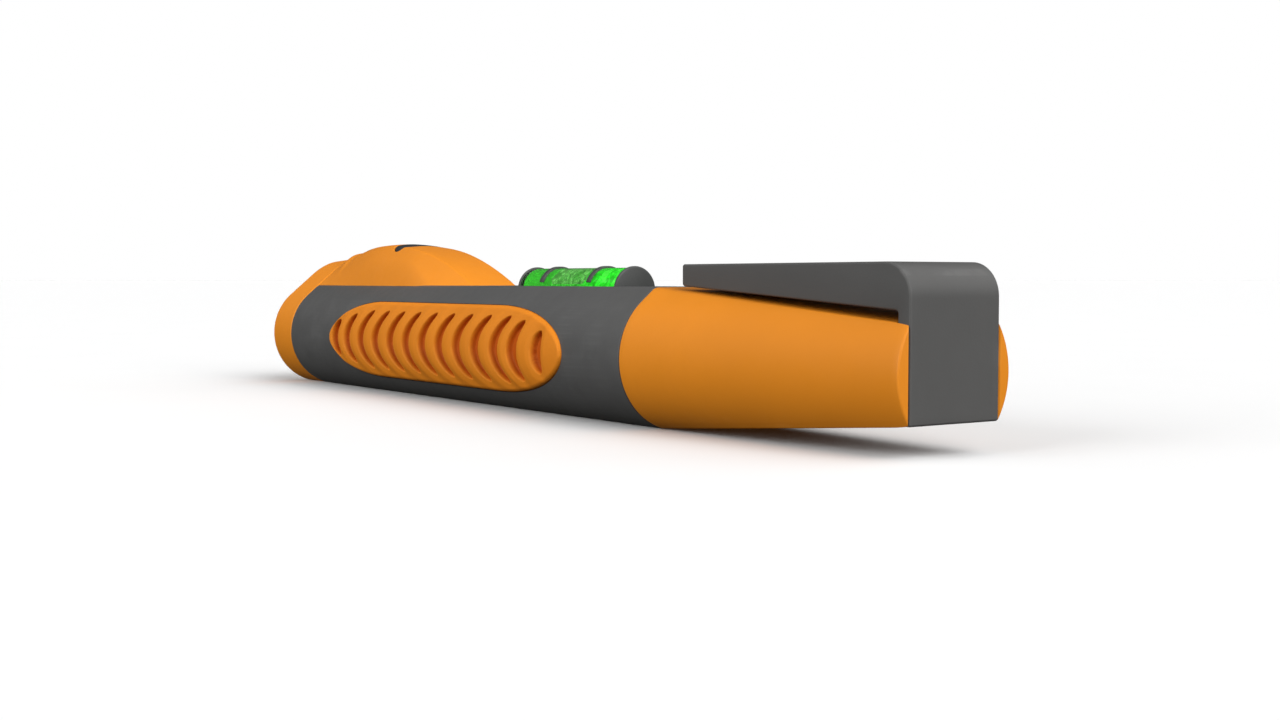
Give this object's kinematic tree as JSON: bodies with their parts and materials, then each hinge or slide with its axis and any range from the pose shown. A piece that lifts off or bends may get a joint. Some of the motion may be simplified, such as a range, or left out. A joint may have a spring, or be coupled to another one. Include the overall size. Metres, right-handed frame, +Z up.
{
  "type": "stud finder",
  "caption": "Pocket stud sensor with a humped nose, ribbed side grips, a level vial, and a tapered pull-off tail cap with a pocket clip.",
  "frame": {"origin": "centre of the object's bounding box in X and Y, at the plane of the sole", "axes": "+X along the body towards the tail and clip, nose at -X; +Z up through the hump, the sole faces -Z; +Y is the left side seen from the tail"},
  "size_m": [0.1538, 0.026, 0.0237],
  "materials": {
    "orange_shell": "satin",
    "grey_shell": "satin",
    "grey_clip": "satin",
    "grip_rubber": "matte",
    "button_rubber": "matte",
    "seal_rubber": "matte",
    "clear_window": "gloss",
    "vial_acrylic": "gloss",
    "vial_liquid": "gloss",
    "vial_air": "gloss",
    "vial_trim": "satin",
    "black_moulding": "satin",
    "circuit_board": "satin",
    "copper": "satin",
    "chip_epoxy": "matte",
    "chip_ceramic": "satin",
    "capacitor_can": "satin",
    "tinned_steel": "satin",
    "led_lens": "gloss",
    "switch_red": "satin",
    "screw_steel": "satin",
    "nickel_strip": "satin",
    "red_insulation": "satin",
    "black_insulation": "satin",
    "cell_jacket": "gloss"
  },
  "bodies": {
    "housing": {"nose_shell": "orange_shell", "body_sleeve": "grey_shell", "left_grip": "grip_rubber", "right_grip": "grip_rubber", "light_window": "clear_window", "vial_tube": "vial_acrylic", "vial_fluid": "vial_liquid", "vial_cap_front": "vial_trim", "vial_cap_rear": "vial_trim", "ring_front": "vial_trim", "ring_rear": "vial_trim", "chassis": "black_moulding", "board_link": "black_moulding", "switch_body": "black_moulding", "buzzer": "black_moulding", "sensor_board": "circuit_board", "main_board": "circuit_board", "sensor_plates": "copper", "controller_chip": "chip_epoxy", "board_parts": "chip_ceramic", "reservoir_cap": "capacitor_can", "shield_can": "tinned_steel", "indicator_leds": "led_lens", "board_screws": "screw_steel", "case_screws": "screw_steel", "plate_contact": "nickel_strip", "spring_contact": "nickel_strip", "lead_red": "red_insulation", "lead_black": "black_insulation", "left_cell": "cell_jacket", "right_cell": "cell_jacket"},
    "sense_button": {"sense_button": "button_rubber"},
    "switch_plunger": {"switch_plunger": "switch_red"},
    "tail_cap": {"tail_cap": "orange_shell", "cap_seal": "seal_rubber", "contact_carrier": "black_moulding", "bridge_contact": "nickel_strip", "bridge_spring": "nickel_strip", "clip_bracket": "grey_clip", "push_nuts": "screw_steel"},
    "clip_arm": {"clip_arm": "grey_clip"},
    "level_bubble": {"vial_bubble": "vial_air"}
  },
  "joints": [
    {"name": "button_press", "type": "slide", "parent": "housing", "child": "sense_button", "axis": [0, 0, -1], "range_m": [0, 0.0005], "stiffness_N_per_m": 1000, "springref_m": -0.0003},
    {"name": "switch_press", "type": "slide", "parent": "housing", "child": "switch_plunger", "axis": [0, 0, -1], "range_m": [0, 0.0005]},
    {"name": "tail_cap_pull", "type": "slide", "parent": "housing", "child": "tail_cap", "axis": [1, 0, 0], "range_m": [0, 0.05]},
    {"name": "clip_flex", "type": "hinge", "parent": "tail_cap", "child": "clip_arm", "pos_m": [0.07588, 0, 0.01435], "axis": [0, 1, 0], "range_deg": [-0.7, 5], "stiffness_Nm_per_rad": 1},
    {"name": "bubble_drift", "type": "slide", "parent": "housing", "child": "level_bubble", "axis": [1, 0, 0], "range_m": [-0.004, 0.004]}
  ],
  "couplings": [
    {"joint": "switch_press", "follows": "button_press", "ratio": 1}
  ]
}
